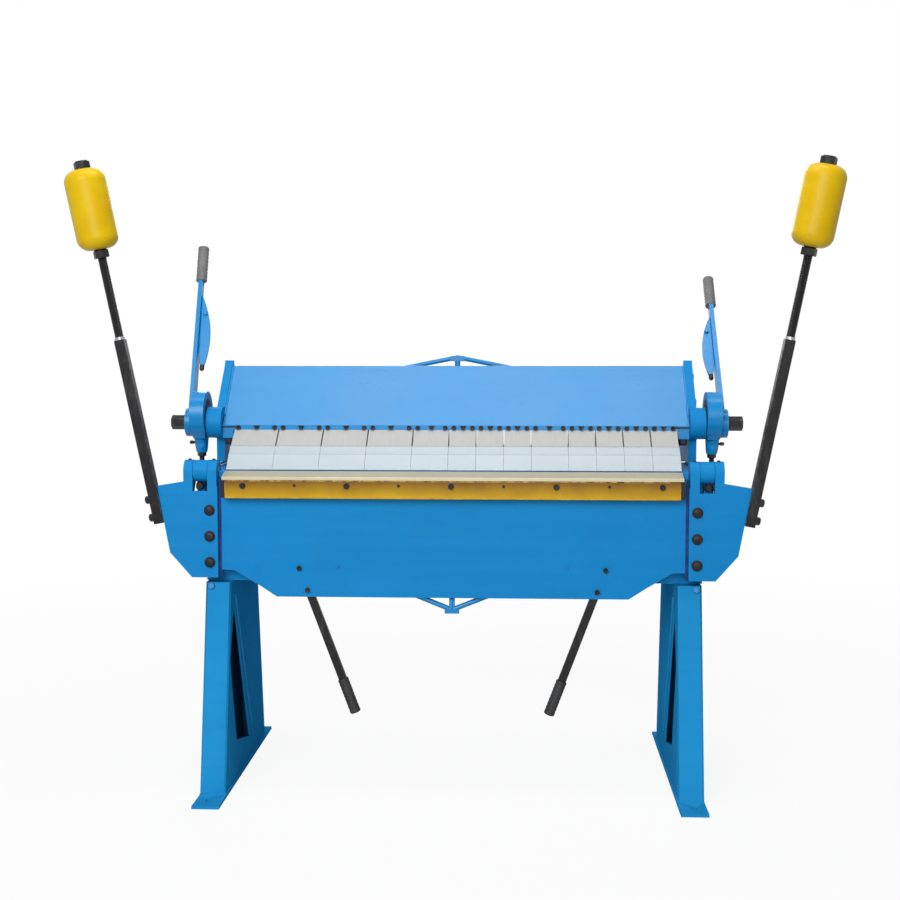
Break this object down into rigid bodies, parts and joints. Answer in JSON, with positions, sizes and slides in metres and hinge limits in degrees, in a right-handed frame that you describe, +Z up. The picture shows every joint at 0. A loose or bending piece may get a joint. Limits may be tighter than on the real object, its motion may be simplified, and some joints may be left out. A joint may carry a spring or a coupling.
{
  "type": "finger folding brake",
  "caption": "Floor-standing manual sheet metal folder with removable clamping fingers, eccentric clamp levers and a counterbalanced folding apron.",
  "frame": {"origin": "on the floor at the centre of the four foot bolt holes", "axes": "+X to the operator's right along the bend line, +Y away from the operator, +Z up"},
  "size_m": [2.051, 0.782, 1.7118],
  "materials": {
    "blue_paint": "semi-gloss machine enamel",
    "yellow_paint": "semi-gloss machine enamel",
    "ground_steel": "surface ground",
    "bright_steel": "turned",
    "blackened_steel": "black oxide",
    "black_grip": "moulded sleeve"
  },
  "bodies": {
    "frame": {"bed": "blue_paint", "leg_bolts": "blue_paint", "pivot_pins": "bright_steel", "tie_anchors": "blue_paint", "end_frame_left": "blue_paint", "end_frame_right": "blue_paint", "leg_left": "blue_paint", "leg_right": "blue_paint"},
    "apron": {"hinge_pins": "bright_steel", "apron_plate": "blue_paint", "folding_blade": "ground_steel", "nose_bar": "yellow_paint", "nose_screws": "blackened_steel", "wing_bolts": "blackened_steel", "ear_screws": "blackened_steel", "apron_truss": "blue_paint", "handle_bolts": "blackened_steel", "handle_bars": "blackened_steel", "handle_grips": "black_grip", "arm_bolts": "blackened_steel", "balance_arms": "blackened_steel", "balance_rods": "bright_steel", "balance_collars": "blackened_steel", "wing_left": "blue_paint", "wing_right": "blue_paint", "counterweight_left": "yellow_paint", "counterweight_right": "yellow_paint"},
    "beam": {"beam_shell": "blue_paint", "beam_truss": "blue_paint", "beam_adjusters": "blue_paint", "finger_screws": "blackened_steel", "beam_end_left": "blue_paint", "beam_end_right": "blue_paint", "finger_01": "ground_steel", "finger_02": "ground_steel", "finger_03": "ground_steel", "finger_04": "ground_steel", "finger_05": "ground_steel", "finger_06": "ground_steel", "finger_07": "ground_steel", "finger_08": "ground_steel", "finger_09": "ground_steel", "finger_10": "ground_steel", "finger_11": "ground_steel", "finger_12": "ground_steel", "finger_13": "ground_steel"},
    "lever_left": {"eccentric_left": "blackened_steel", "lever_arm_left": "blue_paint", "lever_grip_left": "black_grip", "lever_leaf_left": "blue_paint", "lever_bolts_left": "blackened_steel"},
    "link_left": {"strap_left": "blue_paint", "tie_rod_left": "blackened_steel"},
    "lever_right": {"eccentric_right": "blackened_steel", "lever_arm_right": "blue_paint", "lever_grip_right": "black_grip", "lever_leaf_right": "blue_paint", "lever_bolts_right": "blackened_steel"},
    "link_right": {"strap_right": "blue_paint", "tie_rod_right": "blackened_steel"}
  },
  "joints": [
    {"name": "apron_swing", "type": "hinge", "parent": "frame", "child": "apron", "pos_m": [0, -0.183, 0.878], "axis": [-1, 0, 0], "range_deg": [0, 135]},
    {"name": "beam_lift", "type": "hinge", "parent": "frame", "child": "beam", "pos_m": [0, 0.247, 0.905], "axis": [-1, 0, 0], "range_deg": [0, 1.1]},
    {"name": "lever_left_swing", "type": "hinge", "parent": "beam", "child": "lever_left", "pos_m": [-0.72, -0.033, 1.003], "axis": [-1, 0, 0], "range_deg": [0, 40]},
    {"name": "lever_right_swing", "type": "hinge", "parent": "beam", "child": "lever_right", "pos_m": [0.72, -0.033, 1.003], "axis": [-1, 0, 0], "range_deg": [0, 40]},
    {"name": "link_left_turn", "type": "hinge", "parent": "lever_left", "child": "link_left", "pos_m": [-0.721, -0.033, 1.025], "axis": [-1, 0, 0], "range_deg": [-38, 0]},
    {"name": "link_right_turn", "type": "hinge", "parent": "lever_right", "child": "link_right", "pos_m": [0.721, -0.033, 1.025], "axis": [-1, 0, 0], "range_deg": [-38, 0]}
  ],
  "couplings": [
    {"joint": "beam_lift", "follows": "lever_left_swing", "ratio": 0.0263},
    {"joint": "lever_right_swing", "follows": "lever_left_swing", "ratio": 1},
    {"joint": "link_left_turn", "follows": "lever_left_swing", "ratio": -0.94},
    {"joint": "link_right_turn", "follows": "lever_left_swing", "ratio": -0.94}
  ]
}
